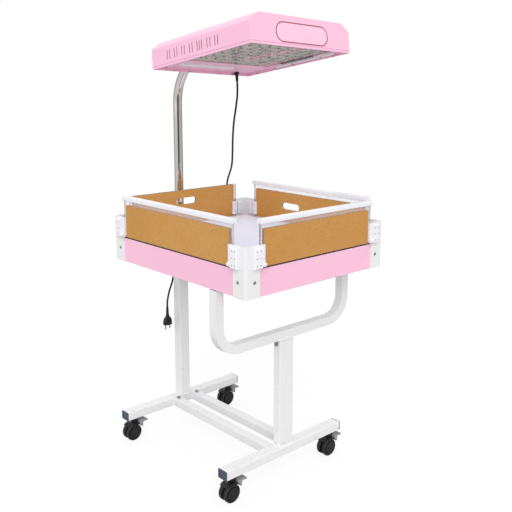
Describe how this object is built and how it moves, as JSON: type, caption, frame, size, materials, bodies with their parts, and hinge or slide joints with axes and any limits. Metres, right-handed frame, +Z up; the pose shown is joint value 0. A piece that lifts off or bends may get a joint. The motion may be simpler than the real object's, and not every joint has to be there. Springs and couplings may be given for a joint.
{
  "type": "infant phototherapy unit",
  "caption": "Wheeled infant phototherapy unit: tilted lamp head on a bent mast above a cot tray with folding clear sides, on a foot frame with braked casters.",
  "frame": {"origin": "on the floor, below the middle of the whole object's box", "axes": "+X to the right seen from the front, +Y to the mast at the rear, +Z up"},
  "size_m": [0.612, 0.7674, 1.4751],
  "materials": {
    "stand_white": "powder coated steel, satin",
    "end_cap_blue": "moulded plastic, dark blue-grey",
    "zinc_steel": "zinc plated",
    "black_plastic": "moulded, fine grain",
    "pink_paint": "powder coated sheet, pink satin",
    "deck_board": "laminated board, white",
    "mattress_cover": "coated cover, pale lavender",
    "white_plastic": "moulded, satin white",
    "steel_tube": "stainless tube, satin",
    "reflector": "bright anodised sheet",
    "lens_clear": "clear moulded lenses",
    "board_green": "circuit board",
    "aluminium_box": "extruded box",
    "cord_black": "flexible sheath, black",
    "clear_acrylic": "clear acrylic sheet, polished edges",
    "kraft_paper": "brown protective paper",
    "caster_tread": "black tread on a black core",
    "brake_grey": "grey moulded"
  },
  "bodies": {
    "stand": {"foot_rails": "stand_white", "rail_end_caps": "end_cap_blue", "crossbars": "stand_white", "rear_column": "stand_white", "front_column": "stand_white", "u_bracket": "stand_white", "frame_bolts": "zinc_steel", "column_bush": "black_plastic", "cord_clip": "black_plastic", "aprons_side": "pink_paint", "aprons_end": "pink_paint", "corner_posts": "stand_white", "crib_screws": "zinc_steel", "deck": "deck_board", "mattress": "mattress_cover", "crib_rear_mount": "stand_white", "panel_rear": "clear_acrylic", "mask_rear": "kraft_paper", "hinge_shoes_rear": "white_plastic", "hinge_blocks": "white_plastic", "cord": "cord_black", "plug": "cord_black", "caster_stems": "zinc_steel"},
    "lamp": {"mast": "steel_tube", "mast_flange": "steel_tube", "lamp_housing": "pink_paint", "lamp_base_frame": "pink_paint", "reflector_panel": "reflector", "led_lenses": "lens_clear", "led_board": "board_green", "light_strips": "white_plastic", "driver_box": "aluminium_box", "cord_gland": "black_plastic"},
    "switch": {"power_switch": "black_plastic"},
    "knob": {"clamp_knob": "black_plastic"},
    "side_left": {"panel_left": "clear_acrylic", "mask_left": "kraft_paper", "cap_rail_left": "white_plastic", "hinge_shoes_left": "white_plastic"},
    "side_right": {"panel_right": "clear_acrylic", "mask_right": "kraft_paper", "cap_rail_right": "white_plastic", "hinge_shoes_right": "white_plastic"},
    "side_front": {"panel_front": "clear_acrylic", "mask_front": "kraft_paper", "cap_rail_front": "white_plastic", "hinge_shoes_front": "white_plastic"},
    "caster_1": {"caster_hood_1": "black_plastic"},
    "wheels_1": {"caster_wheels_1": "caster_tread"},
    "brake_1": {"caster_brake_1": "brake_grey"},
    "caster_2": {"caster_hood_2": "black_plastic"},
    "wheels_2": {"caster_wheels_2": "caster_tread"},
    "brake_2": {"caster_brake_2": "brake_grey"},
    "caster_3": {"caster_hood_3": "black_plastic"},
    "wheels_3": {"caster_wheels_3": "caster_tread"},
    "brake_3": {"caster_brake_3": "brake_grey"},
    "caster_4": {"caster_hood_4": "black_plastic"},
    "wheels_4": {"caster_wheels_4": "caster_tread"},
    "brake_4": {"caster_brake_4": "brake_grey"}
  },
  "joints": [
    {"name": "lamp_swivel", "type": "hinge", "parent": "stand", "child": "lamp", "pos_m": [0, 0.32925, 0.774], "axis": [0, 0, 1], "range_deg": [-90, 90]},
    {"name": "switch_rock", "type": "hinge", "parent": "lamp", "child": "switch", "pos_m": [0.10909, 0.1787, 1.34341], "axis": [0.9988, -0.0071, -0.0483], "range_deg": [0, 12]},
    {"name": "knob_turn", "type": "hinge", "parent": "stand", "child": "knob", "pos_m": [0, 0.36725, 0.744], "axis": [0, 1, 0], "continuous": true},
    {"name": "side_left_fold", "type": "hinge", "parent": "stand", "child": "side_left", "pos_m": [-0.3, -0.03775, 0.7845], "axis": [0, -1, 0], "range_deg": [0, 178]},
    {"name": "side_right_fold", "type": "hinge", "parent": "stand", "child": "side_right", "pos_m": [0.3, -0.03775, 0.7845], "axis": [0, 1, 0], "range_deg": [0, 178]},
    {"name": "side_front_fold", "type": "hinge", "parent": "stand", "child": "side_front", "pos_m": [0, -0.37775, 0.7845], "axis": [1, 0, 0], "range_deg": [0, 178]},
    {"name": "caster_1_swivel", "type": "hinge", "parent": "stand", "child": "caster_1", "pos_m": [-0.221, -0.22075, 0.082], "axis": [0, 0, 1], "continuous": true},
    {"name": "wheels_1_spin", "type": "hinge", "parent": "caster_1", "child": "wheels_1", "pos_m": [-0.231, -0.22075, 0.03], "axis": [0, 1, 0], "continuous": true},
    {"name": "brake_1_press", "type": "hinge", "parent": "caster_1", "child": "brake_1", "pos_m": [-0.204, -0.22075, 0.061], "axis": [0, 1, 0], "range_deg": [0, 18]},
    {"name": "caster_2_swivel", "type": "hinge", "parent": "stand", "child": "caster_2", "pos_m": [0.221, -0.22075, 0.082], "axis": [0, 0, 1], "continuous": true},
    {"name": "wheels_2_spin", "type": "hinge", "parent": "caster_2", "child": "wheels_2", "pos_m": [0.211, -0.22075, 0.03], "axis": [0, 1, 0], "continuous": true},
    {"name": "brake_2_press", "type": "hinge", "parent": "caster_2", "child": "brake_2", "pos_m": [0.238, -0.22075, 0.061], "axis": [0, 1, 0], "range_deg": [0, 18]},
    {"name": "caster_3_swivel", "type": "hinge", "parent": "stand", "child": "caster_3", "pos_m": [-0.221, 0.32925, 0.082], "axis": [0, 0, 1], "continuous": true},
    {"name": "wheels_3_spin", "type": "hinge", "parent": "caster_3", "child": "wheels_3", "pos_m": [-0.231, 0.32925, 0.03], "axis": [0, 1, 0], "continuous": true},
    {"name": "brake_3_press", "type": "hinge", "parent": "caster_3", "child": "brake_3", "pos_m": [-0.204, 0.32925, 0.061], "axis": [0, 1, 0], "range_deg": [0, 18]},
    {"name": "caster_4_swivel", "type": "hinge", "parent": "stand", "child": "caster_4", "pos_m": [0.221, 0.32925, 0.082], "axis": [0, 0, 1], "continuous": true},
    {"name": "wheels_4_spin", "type": "hinge", "parent": "caster_4", "child": "wheels_4", "pos_m": [0.211, 0.32925, 0.03], "axis": [0, 1, 0], "continuous": true},
    {"name": "brake_4_press", "type": "hinge", "parent": "caster_4", "child": "brake_4", "pos_m": [0.238, 0.32925, 0.061], "axis": [0, 1, 0], "range_deg": [0, 18]}
  ]
}
